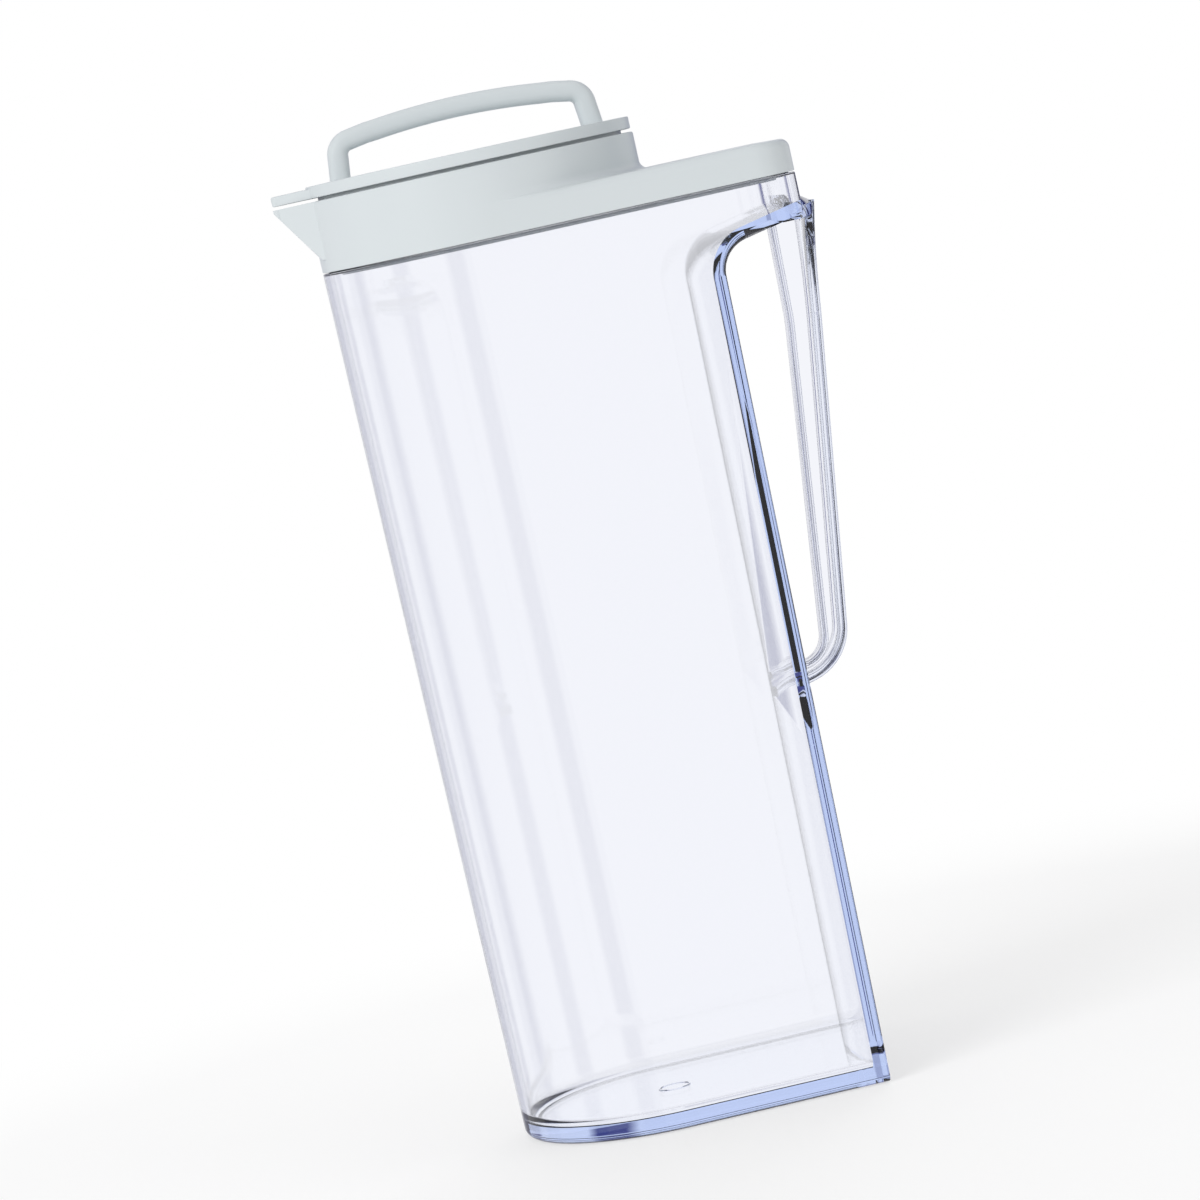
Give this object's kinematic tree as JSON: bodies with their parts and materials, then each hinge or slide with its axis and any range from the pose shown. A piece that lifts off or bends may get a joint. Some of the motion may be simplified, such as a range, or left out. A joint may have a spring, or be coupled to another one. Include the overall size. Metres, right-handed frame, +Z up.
{
  "type": "pitcher with screw lid",
  "caption": "Slim clear plastic drinks jug with a side grip, a lift-off lid with a pouring spout, and a turning screw cap with a bow handle.",
  "frame": {"origin": "under the middle of the overall box, on the face that the jug stands on", "axes": "+Z up, the spout points to -X, the grip to +X, +Y across the slim width"},
  "size_m": [0.1466, 0.0922, 0.288],
  "materials": {
    "clear_jug": "clear moulded plastic with a faint blue violet tone at thick edges",
    "lid_plastic": "smooth pale grey plastic, softly glossy",
    "seal_rubber": "translucent pale silicone"
  },
  "bodies": {
    "jug": {"jug_body": "clear_jug", "jug_handle": "clear_jug"},
    "lid": {"lid_body": "lid_plastic", "lid_gasket": "seal_rubber"},
    "plug_seal": {"plug_gasket": "seal_rubber"},
    "screw_cap": {"cap_disc": "lid_plastic", "cap_bow": "lid_plastic", "cap_plug": "lid_plastic"}
  },
  "joints": [
    {"name": "lid_lift", "type": "slide", "parent": "jug", "child": "lid", "axis": [0, 0, 1], "range_m": [0, 0.05]},
    {"name": "cap_rise", "type": "slide", "parent": "lid", "child": "plug_seal", "axis": [0, 0, 1], "range_m": [0, 0.00905]},
    {"name": "cap_turn", "type": "hinge", "parent": "plug_seal", "child": "screw_cap", "pos_m": [-0.0175, 0, 0.27], "axis": [0, 0, 1], "range_deg": [0, 270]}
  ],
  "couplings": [
    {"joint": "cap_rise", "follows": "cap_turn", "m_per_rad": 0.0019099}
  ]
}
